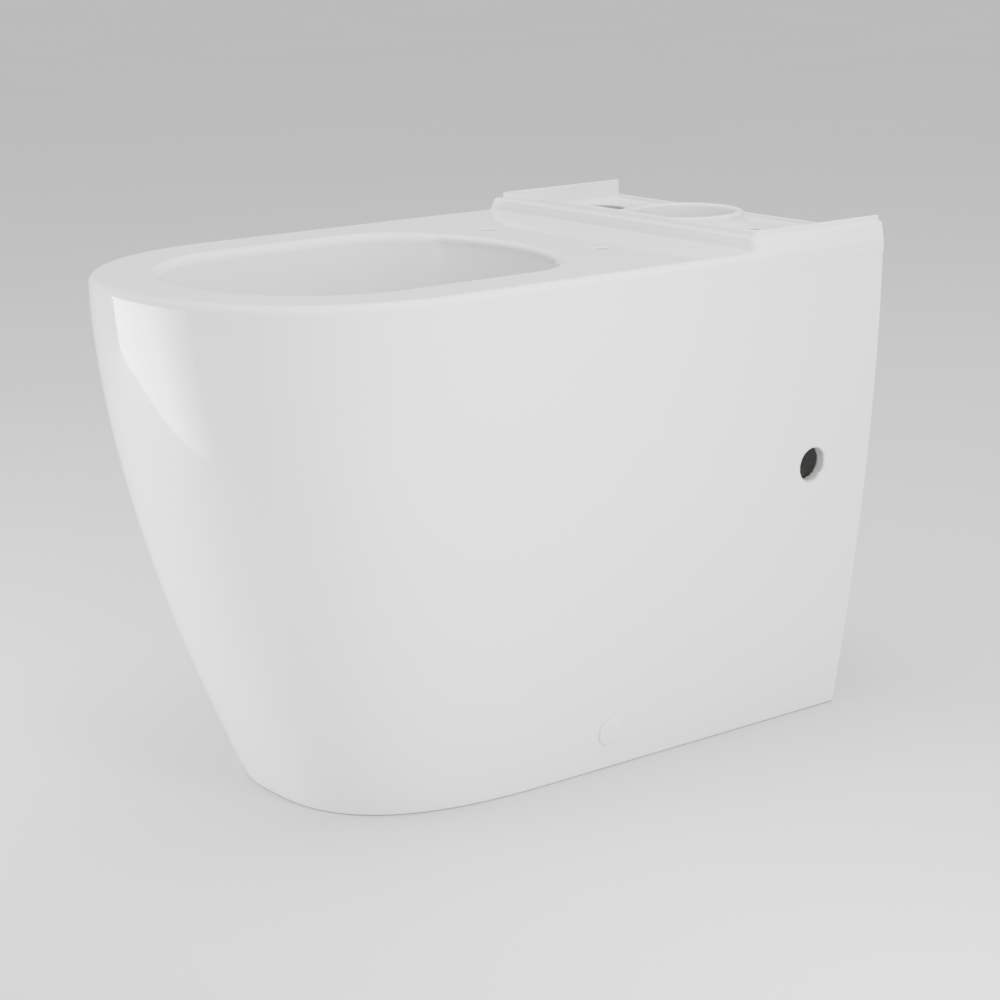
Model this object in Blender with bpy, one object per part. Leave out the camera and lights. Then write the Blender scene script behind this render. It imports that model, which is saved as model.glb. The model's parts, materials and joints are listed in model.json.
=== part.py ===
"""Back-to-wall close coupled toilet pan, with its side fixings and outlet connector.

Units are metres, +Z is up and +Y points at the wall. Lengths in the constants
below are millimetres, and MM turns them into metres. "Depth" is the distance
in front of the wall, so a point at depth d has Y = (LENGTH / 2 - d) * MM.
The origin is on the floor, midway between the wall and the front of the rim.
"""
import math

import bmesh
import bpy
from mathutils import Matrix, Vector

MM = 0.001

# Pan body
LENGTH = 660.0
RIM_HEIGHT = 446.0
BASE_HALF_WIDTH = 133.0
SIDE_FLARE_AT_WALL = 50.0
SIDE_FLARE_EXTRA = 6.5
FLARE_EXTRA_DEPTH = 220.0
SIDE_CURVE_POWER = 1.74
BASE_STRAIGHT_DEPTH = 334.0
RIM_STRAIGHT_DEPTH = 468.0
BASE_TIP_DEPTH = 536.0
FRONT_CURVE_POWER = 1.62
BASE_ROUNDNESS = 2.7
RIM_ROUNDNESS = 2.12
RIM_EDGE_RADIUS = 7.0
WALL_THICKNESS = 11.0
REAR_FLANGE_EDGE = 92.0
REAR_FLANGE_DROP = 10.0
SHROUD_LEVELS = (60.0, 130.0, 220.0, 310.0, 390.0)
REAR_FLANGE_RECESS = 0.6
DECK_THICKNESS = 15.0
FRONT_STEPS = 14
SIDE_STEPS = 4

# Raised platform that the cistern stands on
PLATFORM_DEPTH = 154.8
PLATFORM_HALF_WIDTH = 182.0
PLATFORM_TOP_HALF_WIDTH = 180.0
STEP_HEIGHT = 457.2
LEDGE_DEPTH = 7.5
LIP_HALF_WIDTH = 176.5
LIP_HEIGHT = 462.2
LIP_THICKNESS = 2.8
FRONT_LIP_THICKNESS = 4.5
REAR_LIP_THICKNESS = 3.0
REAR_LIP_HEIGHT = 447.9
PLATFORM_FLOOR = 444.0
PLATFORM_CORNER = 8.0
CORNER_STEPS = 5

# Holes in the platform and the deck
INLET_DEPTH = 70.0
INLET_RADIUS = 46.0
INLET_RING_RADIUS = 54.0
INLET_RING_HEIGHT = 455.7
CISTERN_BOLT_SPACING = 140.0
CISTERN_BOLT_DEPTH = 52.0
CISTERN_BOLT_RADIUS = 9.0
VALVE_HOLE_X = -136.0
VALVE_HOLE_DEPTH = 57.0
VALVE_HOLE_RADIUS = 25.0
SEAT_HOLE_SPACING = 155.0
SEAT_HOLE_DEPTH = 237.5
SEAT_HOLE_RADIUS = 7.0
ACCESS_HOLE_DEPTH = 72.0
ACCESS_HOLE_HEIGHT = 247.0
ACCESS_HOLE_RADIUS = 15.0

# Bowl: height, half width, front bend, front tip, rear bend and rear end (depths)
BOWL_SECTIONS = (
    (95.0, 24.0, 315.0, 335.0, 285.0, 262.0),
    (105.0, 38.0, 320.0, 352.0, 288.0, 249.0),
    (130.0, 48.0, 330.0, 372.0, 292.0, 245.0),
    (170.0, 60.0, 345.0, 412.0, 300.0, 244.0),
    (220.0, 82.0, 380.0, 480.0, 322.0, 247.0),
    (280.0, 110.0, 428.0, 550.0, 342.0, 254.0),
    (340.0, 126.0, 464.0, 589.0, 352.0, 264.0),
    (400.0, 131.5, 480.0, 601.0, 356.0, 272.0),
    (437.0, 132.0, 484.0, 604.5, 357.0, 276.0),
    (443.0, 135.0, 484.0, 607.5, 357.0, 273.0),
    (446.0, 140.5, 484.0, 613.0, 357.0, 268.0),
)
BOWL_WALL = 10.0
BOWL_ROUNDNESS = 2.0
BOWL_STEPS = 9

# Trapway: level out of the sump, up behind the bowl, over the weir and down to the outlet
SUMP_START_DEPTH = 300.0
SUMP_HEIGHT = 126.0
RISER_DEPTH = 207.0
RISER_BEND_RADIUS = 45.0
WEIR_ARC_HEIGHT = 190.0
WEIR_BEND_RADIUS = 43.0
FALL_ANGLE = 36.0
OUTLET_BEND_RADIUS = 70.0
OUTLET_HEIGHT = 185.0
OUTLET_END_DEPTH = 57.0
SUMP_BORE_RADIUS = 29.0
TRAP_BORE_RADIUS = 27.0
OUTLET_BORE_RADIUS = 40.0
TRAP_WALL = 9.0
TRAP_SIDES = 24
BEND_STEPS = 5

# Flush chamber under the platform, its drop behind the bowl, and its mouth low in the bowl's wall
CHAMBER_HALF_WIDTH = 48.0
CHAMBER_REAR = 22.0
CHAMBER_FLOOR = 392.0
CHAMBER_TOP = 432.0
CHAMBER_FRONT = 248.0
DROP_HALF_WIDTH = 47.0
DROP_REAR = 212.0
DROP_FRONT = 250.0
DROP_FLOOR = 345.0
DROP_TOP = 404.0
MOUTH_HALF_WIDTH = 46.0
MOUTH_REAR = 230.0
MOUTH_FRONT = 296.0
MOUTH_FLOOR = 346.5
MOUTH_TOP = 386.0
CHAMBER_WALL = 9.0

# Shallow recess across the back of the bowl, under the rim
RECESS_HALF_WIDTH = 84.0
RECESS_DEPTH = 8.0
RECESS_FLOOR = 340.0
RECESS_TOP = 438.0
RECESS_FRONT = 330.0
RECESS_STEPS = 12

# Side fixings: distances along the screw axis are measured out from the wall surface
FIXING_DEPTH = 281.0
FIXING_HEIGHT = 36.5
FIXING_HOLE_RADIUS = 10.0
CLEARANCE = 0.3
SLEEVE_BORE = 3.3
SLEEVE_POCKET_RADIUS = 7.0
SLEEVE_POCKET_DEPTH = 7.0
CAP_RADIUS = 13.5
CAP_RISE = 2.4
CAP_STEM_LENGTH = 3.4
SCREW_RADIUS = 2.7
SCREW_HEAD_RADIUS = 5.0
SCREW_HEAD_HEIGHT = 2.6
SCREW_LENGTH = 26.0
SCREW_SOCKET_RADIUS = 2.0
WASHER_THICKNESS = 0.8
BRACKET_THICKNESS = 5.0
BRACKET_HALF_LENGTH = 21.0
BRACKET_TOP = 20.0
BRACKET_FOOT_REACH = 38.0
BRACKET_FOOT_THICKNESS = 6.0
NUT_RADIUS = 5.8
NUT_THICKNESS = 5.0

# Outlet connector: a socket over the pan's spigot, and a pipe towards the wall
SOCKET_INNER_RADIUS = 57.5
SOCKET_OUTER_RADIUS = 61.0
SOCKET_FRONT = 90.0
SOCKET_REAR = 50.0
PIPE_INNER_RADIUS = 48.5
PIPE_OUTER_RADIUS = 52.0
PIPE_END = 0.5
WALL_SEAL_RADIUS = 55.5
TURN_STEPS = 36


def to_world(x, depth, height):
    """A point given in millimetres by its distance across, from the wall and up."""
    return Vector((x, LENGTH / 2 - depth, height)) * MM


def clear_scene():
    for item in list(bpy.data.objects):
        bpy.data.objects.remove(item, do_unlink=True)


def material(name, colour, roughness, metallic=0.0):
    """A named material with one Principled BSDF."""
    made = bpy.data.materials.new(name)
    made.use_nodes = True
    shader = made.node_tree.nodes["Principled BSDF"]
    shader.inputs["Base Color"].default_value = (*colour, 1.0)
    shader.inputs["Roughness"].default_value = roughness
    shader.inputs["Metallic"].default_value = metallic
    return made


def ceramic():
    return material("vitreous_china", (0.87, 0.87, 0.87), 0.08)


def white_plastic():
    return material("white_plastic", (0.85, 0.85, 0.85), 0.25)


def grey_nylon():
    return material("natural_nylon", (0.72, 0.71, 0.67), 0.45)


def bright_steel():
    return material("stainless_steel", (0.62, 0.62, 0.62), 0.3, 1.0)


def zinc_steel():
    return material("zinc_plated_steel", (0.66, 0.67, 0.70), 0.38, 1.0)


def black_rubber():
    return material("black_rubber", (0.03, 0.03, 0.03), 0.7)


def new_object(name, mesh_builder, surface):
    """Make an object from a bmesh, with its faces pointing out."""
    bmesh.ops.recalc_face_normals(mesh_builder, faces=mesh_builder.faces)
    mesh = bpy.data.meshes.new(name)
    mesh_builder.to_mesh(mesh)
    mesh_builder.free()
    made = bpy.data.objects.new(name, mesh)
    bpy.context.collection.objects.link(made)
    if surface:
        mesh.materials.append(surface)
    return made


def loft(name, rings, surface=None):
    """A closed solid through rings of the same number of points, capped at both ends."""
    builder = bmesh.new()
    made = [[builder.verts.new(point) for point in ring] for ring in rings]
    for lower, upper in zip(made, made[1:]):
        for index, corner in enumerate(lower):
            following = (index + 1) % len(lower)
            builder.faces.new((corner, lower[following], upper[following], upper[index]))
    builder.faces.new(made[0])
    builder.faces.new(made[-1])
    return new_object(name, builder, surface)


def turned(name, profile, place, surface=None, steps=TURN_STEPS):
    """A ring-shaped solid: a closed profile of (along, radius) turned about an axis."""
    builder = bmesh.new()
    rings = []
    for step in range(steps):
        turn = 2 * math.pi * step / steps
        ring = []
        for along, radius in profile:
            local = Vector((radius * math.cos(turn), radius * math.sin(turn), along))
            ring.append(builder.verts.new(place @ (local * MM)))
        rings.append(ring)
    for step, ring in enumerate(rings):
        following = rings[(step + 1) % steps]
        for index, corner in enumerate(ring):
            onward = (index + 1) % len(ring)
            builder.faces.new((corner, ring[onward], following[onward], following[index]))
    return new_object(name, builder, surface)


def rod(name, profile, place, surface=None, steps=TURN_STEPS):
    """A solid round piece: sections of (along, radius) on one axis, closed at both ends."""
    rings = []
    for along, radius in profile:
        ring = []
        for step in range(steps):
            turn = 2 * math.pi * step / steps
            local = Vector((radius * math.cos(turn), radius * math.sin(turn), along))
            ring.append(place @ (local * MM))
        rings.append(ring)
    return loft(name, rings, surface)


def prism(name, outline, bottom, top, surface=None):
    """An upright solid over an outline of (across, depth) points."""
    rings = [[to_world(x, depth, height) for x, depth in outline] for height in (bottom, top)]
    return loft(name, rings, surface)


def local_box(name, low, high, place, surface=None):
    """A box between two corners in millimetres, in the frame of place."""
    rings = []
    for along in (low[2], high[2]):
        corners = ((low[0], low[1]), (high[0], low[1]), (high[0], high[1]), (low[0], high[1]))
        rings.append([place @ (Vector((x, y, along)) * MM) for x, y in corners])
    return loft(name, rings, surface)


def combine(target, tools, operation):
    """Join tools to the target or cut them from it, and bake the result."""
    for tool in tools:
        change = target.modifiers.new(operation.lower(), "BOOLEAN")
        change.operation = operation
        change.solver = "EXACT"
        change.object = tool
        baked = bpy.data.meshes.new_from_object(
            target.evaluated_get(bpy.context.evaluated_depsgraph_get())
        )
        target.modifiers.clear()
        target.data = baked
        bpy.data.objects.remove(tool, do_unlink=True)
    return target


def smooth(target, degrees=32.0):
    target.data.shade_smooth()
    target.data.set_sharp_from_angle(angle=math.radians(degrees))


def ease(value):
    """Smooth step from 0 to 1."""
    held = min(max(value, 0.0), 1.0)
    return held * held * (3 - 2 * held)


def flare(height, power):
    """How far the flared body has opened at a height: 0 at the floor, 1 at the rim."""
    above = min(max(height / RIM_HEIGHT, 0.0), 1.0)
    return 1 - (1 - above) ** power


def side_half_width(height, depth):
    """Half width of the body's straight side."""
    spread = SIDE_FLARE_AT_WALL + SIDE_FLARE_EXTRA * ease(depth / FLARE_EXTRA_DEPTH)
    return BASE_HALF_WIDTH + spread * flare(height, SIDE_CURVE_POWER)


def front_curve(half_width, bend, tip, roundness, steps):
    """Points of a half superellipse from the +X side, round the tip, to the -X side."""
    points = []
    for step in range(2 * steps + 1):
        turn = math.pi * step / (2 * steps)
        across = math.copysign(abs(math.cos(turn)) ** (2 / roundness), math.cos(turn))
        forward = abs(math.sin(turn)) ** (2 / roundness)
        points.append((half_width * across, bend + (tip - bend) * forward))
    return points


def body_outline(height, inset, rear_depth):
    """Plan of the body at a height, moved in by inset, from the wall round the front."""
    opened = flare(height, FRONT_CURVE_POWER)
    bend = BASE_STRAIGHT_DEPTH + (RIM_STRAIGHT_DEPTH - BASE_STRAIGHT_DEPTH) * opened
    tip = BASE_TIP_DEPTH + (LENGTH - BASE_TIP_DEPTH) * opened - inset
    roundness = BASE_ROUNDNESS + (RIM_ROUNDNESS - BASE_ROUNDNESS) * height / RIM_HEIGHT
    side = []
    for step in range(SIDE_STEPS):
        depth = rear_depth + (FLARE_EXTRA_DEPTH - rear_depth) * step / (SIDE_STEPS - 1)
        side.append((side_half_width(height, depth) - inset, depth))
    front = front_curve(side_half_width(height, bend) - inset, bend, tip, roundness, FRONT_STEPS)
    return side + front + [(-x, depth) for x, depth in reversed(side)]


def body_shell():
    """The outside of the pan, from the floor to the rolled outer edge of the rim."""
    levels = [(height, 0.0) for height in (0, 30, 70, 120, 180, 240, 300, 360, 405)]
    edge_start = RIM_HEIGHT - RIM_EDGE_RADIUS
    for step in range(4):
        turn = math.radians(30 * step)
        rise = RIM_EDGE_RADIUS * math.sin(turn)
        levels.append((edge_start + rise, RIM_EDGE_RADIUS * (1 - math.cos(turn))))
    rings = []
    for height, inset in levels:
        outline = body_outline(height, inset, 0.0)
        rings.append([to_world(x, depth, height) for x, depth in outline])
    return loft("pan", rings, ceramic())


def shroud_hollow():
    """The space inside the shroud, open to the floor and to the wall."""
    rings = []
    behind = -20.0
    below = -10.0
    for height in (below, *SHROUD_LEVELS, RIM_HEIGHT - DECK_THICKNESS):
        outline = body_outline(max(height, 0.0), WALL_THICKNESS, behind)
        rings.append([to_world(x, depth, height) for x, depth in outline])
    return loft("shroud_hollow", rings)


def platform_outline(half_width, front, corner):
    """Plan of a raised block against the wall, with rounded front corners."""
    points = [(half_width, 0.0)]
    for step in range(CORNER_STEPS + 1):
        turn = math.radians(90 * step / CORNER_STEPS)
        x = half_width - corner + corner * math.cos(turn)
        points.append((x, front - corner + corner * math.sin(turn)))
    return points + [(-x, depth) for x, depth in reversed(points)]


def platform_blocks():
    """The two steps that the cistern's edge sits over."""
    base = []
    for x, depth in platform_outline(PLATFORM_HALF_WIDTH, PLATFORM_DEPTH, PLATFORM_CORNER):
        widened = SIDE_FLARE_EXTRA * ease(depth / FLARE_EXTRA_DEPTH)
        base.append((x + math.copysign(widened, x), depth))
    top = platform_outline(PLATFORM_TOP_HALF_WIDTH, PLATFORM_DEPTH - 0.6, PLATFORM_CORNER)
    rings = []
    for outline, height in ((base, RIM_HEIGHT - 10), (base, RIM_HEIGHT), (top, STEP_HEIGHT)):
        rings.append([to_world(x, depth, height) for x, depth in outline])
    lower = loft("lower_step", rings)
    lip_front = PLATFORM_DEPTH - LEDGE_DEPTH
    outline = platform_outline(LIP_HALF_WIDTH, lip_front, PLATFORM_CORNER - 2)
    upper = prism("upper_step", outline, RIM_HEIGHT - 6, LIP_HEIGHT)
    return [lower, upper]


def platform_pocket():
    """The sunken floor inside the lips, cut down from above, and the low rear lip."""
    half_width = LIP_HALF_WIDTH - LIP_THICKNESS
    front = PLATFORM_DEPTH - LEDGE_DEPTH - FRONT_LIP_THICKNESS
    outline = platform_outline(half_width, front, PLATFORM_CORNER - 4)
    floor = [(x, max(depth, REAR_LIP_THICKNESS)) for x, depth in outline]
    behind = -5.0
    above = LIP_HEIGHT + 5
    open_back = [(x, behind if depth == 0.0 else depth) for x, depth in outline]
    return [
        prism("pocket_floor", floor, PLATFORM_FLOOR, above),
        prism("pocket_back", open_back, REAR_LIP_HEIGHT, above),
    ]


def vertical_hole(name, x, depth, radius, bottom, top):
    place = Matrix.Translation(to_world(x, depth, 0.0))
    return rod(name, ((bottom, radius), (top, radius)), place, steps=28)


def inlet_ring():
    """The round boss that the cistern's foam gasket presses on."""
    start = PLATFORM_FLOOR - 8
    return vertical_hole("ring", 0, INLET_DEPTH, INLET_RING_RADIUS, start, INLET_RING_HEIGHT)


def rear_flanges():
    """The shroud's rear edges turned inwards, which stiffen it under the cistern."""
    flanges = []
    for side in (-1, 1):
        rings = []
        for height in (REAR_FLANGE_RECESS, *SHROUD_LEVELS, RIM_HEIGHT - REAR_FLANGE_DROP):
            outer = side_half_width(height, 0.0) - WALL_THICKNESS / 2
            plan = (
                (REAR_FLANGE_EDGE, REAR_FLANGE_RECESS),
                (outer, REAR_FLANGE_RECESS),
                (outer, WALL_THICKNESS),
                (REAR_FLANGE_EDGE, WALL_THICKNESS),
            )
            rings.append([to_world(side * x, depth, height) for x, depth in plan])
        flanges.append(loft("rear_flange", rings))
    return flanges


def bowl_ring(section, grow):
    """One closed section of the bowl, moved out by grow."""
    height, half_width, front_bend, tip, rear_bend, rear = section
    width = half_width + grow
    front = front_curve(width, front_bend, tip + grow, BOWL_ROUNDNESS, BOWL_STEPS)
    back = front_curve(width, rear_bend, rear - grow, BOWL_ROUNDNESS, BOWL_STEPS)
    outline = front + list(reversed(back))
    return [to_world(x, depth, height) for x, depth in outline]


def bowl_cavity():
    sections = list(BOWL_SECTIONS)
    rolled = sections[-1]
    sections.append((RIM_HEIGHT + 20, *rolled[1:]))
    return loft("bowl_cavity", [bowl_ring(section, 0.0) for section in sections])


def bowl_outside():
    """The bowl's wall seen from inside the shroud, before the bowl is cut out of it."""
    buried_top = RIM_HEIGHT - 6
    sections = [section for section in BOWL_SECTIONS if section[0] < buried_top]
    lowest = sections[0]
    rings = [bowl_ring((lowest[0] - BOWL_WALL, *lowest[1:]), 0.0)]
    rings += [bowl_ring(section, BOWL_WALL) for section in sections]
    return loft("bowl_outside", rings)


def bend(centre, radius, start, end):
    """Points along an arc in the (depth, height) plane, by angles in degrees."""
    points = []
    for step in range(BEND_STEPS + 1):
        turn = math.radians(start + (end - start) * step / BEND_STEPS)
        x = centre[0] + radius * math.cos(turn)
        points.append((x, centre[1] + radius * math.sin(turn)))
    return points


def trap_points():
    """The trapway's centre line and bore: (depth, height, radius) at each point."""
    riser_centre = (RISER_DEPTH + RISER_BEND_RADIUS, SUMP_HEIGHT + RISER_BEND_RADIUS)
    weir_centre = (RISER_DEPTH - WEIR_BEND_RADIUS, WEIR_ARC_HEIGHT)
    rise = bend(riser_centre, RISER_BEND_RADIUS, -90, -180)
    weir = bend(weir_centre, WEIR_BEND_RADIUS, 0, 90 + FALL_ANGLE)
    slope = math.radians(FALL_ANGLE)
    level_drop = OUTLET_BEND_RADIUS * (1 - math.cos(slope))
    fall = weir[-1][1] - OUTLET_HEIGHT - level_drop
    arc_x = weir[-1][0] - fall / math.tan(slope) - OUTLET_BEND_RADIUS * math.sin(slope)
    level_centre = (arc_x, OUTLET_HEIGHT + OUTLET_BEND_RADIUS)
    level = bend(level_centre, OUTLET_BEND_RADIUS, -90 + FALL_ANGLE, -90)
    points = [(SUMP_START_DEPTH, SUMP_HEIGHT, SUMP_BORE_RADIUS)]
    points += [(*point, TRAP_BORE_RADIUS) for point in rise + weir]
    for step, point in enumerate(level):
        grown = ease((step + 1) / (len(level) - 1))
        radius = TRAP_BORE_RADIUS + (OUTLET_BORE_RADIUS - TRAP_BORE_RADIUS) * grown
        points.append((*point, radius))
    points.append((OUTLET_END_DEPTH, OUTLET_HEIGHT, OUTLET_BORE_RADIUS))
    return [Vector(point) for point in points]


def trap_tube(name, grow, overrun):
    """A tube along the trapway, its bore grown by grow and its ends run on by overrun."""
    points = trap_points()
    last = points[-1]
    points[-1] = Vector((last.x - overrun, last.y, last.z))
    rings = []
    for index, point in enumerate(points):
        back = points[max(index - 1, 0)]
        ahead = points[min(index + 1, len(points) - 1)]
        run = (ahead - back).to_2d().normalized()
        ring = []
        for step in range(TRAP_SIDES):
            turn = 2 * math.pi * step / TRAP_SIDES
            radius = point.z + grow
            lift = radius * math.sin(turn)
            spot = (point.x - run.y * lift, point.y + run.x * lift)
            ring.append(to_world(radius * math.cos(turn), *spot))
        rings.append(ring)
    return loft(name, rings)


def chamber_block(name, half_width, depths, heights, grow):
    """A block between two depths and two heights, with all but its top moved out by grow."""
    half = half_width + grow
    rear, front = depths[0] - grow, depths[1] + grow
    plan = ((half, rear), (half, front), (-half, front), (-half, rear))
    return prism(name, plan, heights[0] - grow, heights[1])


def bowl_recess(grow, top):
    """A shallow recess that follows the back of the bowl, moved out by grow."""
    level = min(BOWL_SECTIONS, key=lambda section: abs(section[0] - RECESS_TOP))
    half_width, rear_bend, rear = level[1], level[4], level[5]
    wide = RECESS_HALF_WIDTH + grow
    reach = rear_bend - rear + RECESS_DEPTH + grow
    outline = [(wide, RECESS_FRONT), (-wide, RECESS_FRONT)]
    for step in range(RECESS_STEPS + 1):
        x = wide * (2 * step / RECESS_STEPS - 1)
        across = x / (half_width + RECESS_DEPTH + grow)
        outline.append((x, rear_bend - reach * math.sqrt(1 - across ** 2)))
    return prism("bowl_recess", outline, RECESS_FLOOR - grow, top)


def chamber_solids(grow, top):
    """The flush chamber, its drop and mouth, and the recess, all moved out by grow."""
    along = (CHAMBER_REAR, CHAMBER_FRONT)
    dropped = (DROP_REAR, DROP_FRONT)
    opened = (MOUTH_REAR, MOUTH_FRONT)
    chamber_top = top or CHAMBER_TOP
    return [
        chamber_block("chamber", CHAMBER_HALF_WIDTH, along, (CHAMBER_FLOOR, chamber_top), grow),
        chamber_block("drop", DROP_HALF_WIDTH, dropped, (DROP_FLOOR, DROP_TOP), grow),
        chamber_block("mouth", MOUTH_HALF_WIDTH, opened, (MOUTH_FLOOR, MOUTH_TOP + grow), grow),
        bowl_recess(grow, top or RECESS_TOP),
    ]


def fixing_place(side):
    """Frame of a side fixing: origin on the outer surface, +Z straight out of it."""
    x = side_half_width(FIXING_HEIGHT, FIXING_DEPTH)
    step = 1.0
    higher = side_half_width(FIXING_HEIGHT + step, FIXING_DEPTH)
    slope = math.atan((higher - x) / step)
    out = Vector((side * math.cos(slope), 0.0, -math.sin(slope)))
    along = Vector((0.0, 1.0, 0.0))
    up = out.cross(along)
    turn = Matrix((along, -up, out)).transposed().to_4x4()
    if turn.determinant() < 0:
        turn = Matrix((along, up, out)).transposed().to_4x4()
    return Matrix.Translation(to_world(side * x, FIXING_DEPTH, FIXING_HEIGHT)) @ turn


def fixing_hole(side):
    through = ((-WALL_THICKNESS - 8, FIXING_HOLE_RADIUS), (8.0, FIXING_HOLE_RADIUS))
    return rod("fixing_hole", through, fixing_place(side), steps=28)


def access_hole():
    """The service hole through the right-hand side of the shroud, near the wall."""
    out = side_half_width(ACCESS_HOLE_HEIGHT, ACCESS_HOLE_DEPTH)
    place = Matrix.Translation(to_world(0, ACCESS_HOLE_DEPTH, ACCESS_HOLE_HEIGHT))
    place = place @ Matrix.Rotation(math.radians(90), 4, "Y")
    ends = ((out - 40, ACCESS_HOLE_RADIUS), (out + 20, ACCESS_HOLE_RADIUS))
    return rod("access_hole", ends, place, steps=28)


def deck_holes():
    """Every round hole that opens upwards in the platform and the deck."""
    platform = PLATFORM_FLOOR - DECK_THICKNESS - 10
    over = RIM_HEIGHT + 20
    holes = [
        vertical_hole("inlet", 0, INLET_DEPTH, INLET_RADIUS, CHAMBER_TOP - 10, over),
        vertical_hole(
            "valve", VALVE_HOLE_X, VALVE_HOLE_DEPTH, VALVE_HOLE_RADIUS, platform, over
        ),
    ]
    for side in (-1, 1):
        bolt_x = side * CISTERN_BOLT_SPACING / 2
        bolt = (bolt_x, CISTERN_BOLT_DEPTH, CISTERN_BOLT_RADIUS)
        holes.append(vertical_hole("bolt", *bolt, platform, over))
        seat = (side * SEAT_HOLE_SPACING / 2, SEAT_HOLE_DEPTH, SEAT_HOLE_RADIUS)
        holes.append(vertical_hole("seat", *seat, platform, over))
    return holes


def make_pan():
    """One fired ceramic piece: shroud, bowl, trapway, flush chamber and platform."""
    pan = body_shell()
    combine(pan, platform_blocks() + [inlet_ring()], "UNION")
    combine(pan, platform_pocket(), "DIFFERENCE")
    combine(pan, [inlet_ring()], "UNION")
    combine(pan, [shroud_hollow()], "DIFFERENCE")
    buried = RIM_HEIGHT - 8
    walls = [bowl_outside(), trap_tube("trap_outside", TRAP_WALL, 0.0)]
    combine(pan, walls + chamber_solids(CHAMBER_WALL, buried) + rear_flanges(), "UNION")
    hollows = [bowl_cavity(), trap_tube("trap_bore", 0.0, 10.0)]
    combine(pan, hollows + chamber_solids(0.0, None) + deck_holes(), "DIFFERENCE")
    combine(pan, [fixing_hole(-1), fixing_hole(1), access_hole()], "DIFFERENCE")
    smooth(pan)
    return pan


def make_sleeve(name, place):
    """Nylon sleeve in the ceramic hole, with a pocket for the screw's head."""
    outer = FIXING_HOLE_RADIUS - CLEARANCE
    inner_end = -WALL_THICKNESS + 1.0
    top = -1.2
    floor = -SLEEVE_POCKET_DEPTH
    profile = (
        (inner_end, SLEEVE_BORE), (inner_end, outer), (top, outer),
        (top, SLEEVE_POCKET_RADIUS), (floor, SLEEVE_POCKET_RADIUS), (floor, SLEEVE_BORE),
    )
    smooth(turned(name, profile, place, grey_nylon(), steps=28))


def make_washer(name, place):
    bottom = -SLEEVE_POCKET_DEPTH + CLEARANCE
    top = bottom + WASHER_THICKNESS
    outer = SLEEVE_POCKET_RADIUS - 1.0
    profile = ((bottom, SLEEVE_BORE), (bottom, outer), (top, outer), (top, SLEEVE_BORE))
    smooth(turned(name, profile, place, bright_steel(), steps=24))


def make_screw(name, place):
    """Pan-head fixing screw with a hexagon socket."""
    seat = -SLEEVE_POCKET_DEPTH + WASHER_THICKNESS + 2 * CLEARANCE
    tip = seat - SCREW_LENGTH
    crown = seat + SCREW_HEAD_HEIGHT
    profile = (
        (tip, SCREW_RADIUS - 1.0), (tip + 1.5, SCREW_RADIUS), (seat, SCREW_RADIUS),
        (seat, SCREW_HEAD_RADIUS), (crown - 0.8, SCREW_HEAD_RADIUS), (crown, SCREW_HEAD_RADIUS - 1.2),
    )
    screw = rod(name, profile, place, bright_steel(), steps=24)
    socket = ((crown - 1.6, SCREW_SOCKET_RADIUS), (crown + 1.0, SCREW_SOCKET_RADIUS))
    combine(screw, [rod("socket", socket, place, steps=6)], "DIFFERENCE")
    smooth(screw)


def make_nut(name, place):
    """Hexagon nut held behind the bracket's upright leg."""
    face = -WALL_THICKNESS - BRACKET_THICKNESS - 2 * CLEARANCE
    hexagon = rod(name, ((face - NUT_THICKNESS, NUT_RADIUS), (face, NUT_RADIUS)), place,
                  zinc_steel(), steps=6)
    bore = SCREW_RADIUS + CLEARANCE
    ends = ((face - NUT_THICKNESS - 2, bore), (face + 2, bore))
    combine(hexagon, [rod("nut_bore", ends, place, steps=24)], "DIFFERENCE")
    smooth(hexagon)


def make_bracket(name, side, place):
    """Angle bracket on the floor inside the shroud, leaning with the shroud's wall."""
    face = -WALL_THICKNESS - CLEARANCE
    back = face - BRACKET_THICKNESS
    reach = BRACKET_HALF_LENGTH
    up = 1 if (place.to_3x3() @ Vector((0, 1, 0))).z > 0 else -1
    heights = sorted((up * BRACKET_TOP, -up * 37.0))
    low = (-reach, heights[0], back)
    high = (reach, heights[1], face)
    bracket = local_box(name, low, high, place, zinc_steel())
    root = place @ (Vector((0, -up * 35.5, back + 1.5)) * MM)
    foot_outer = abs(root.x) / MM
    foot_inner = foot_outer - BRACKET_FOOT_REACH
    centre = Matrix.Translation(to_world(side * (foot_outer + foot_inner) / 2, FIXING_DEPTH, 0.0))
    half = (foot_outer - foot_inner) / 2
    foot = local_box("foot", (-half, -reach, 0.0), (half, reach, BRACKET_FOOT_THICKNESS), centre)
    combine(bracket, [foot], "UNION")
    slot = local_box("slot", (-8.0, -3.5, -5.0), (8.0, 3.5, BRACKET_FOOT_THICKNESS + 5), centre)
    bore = SCREW_RADIUS + 2 * CLEARANCE
    hole = rod("leg_hole", ((back - 5, bore), (face + 5, bore)), place, steps=24)
    below = Matrix.Translation(to_world(side * foot_outer, FIXING_DEPTH, 0.0))
    floor_cut = local_box("floor_cut", (-60.0, -60.0, -60.0), (60.0, 60.0, 0.0), below)
    combine(bracket, [slot, hole, floor_cut], "DIFFERENCE")
    smooth(bracket)


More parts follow.
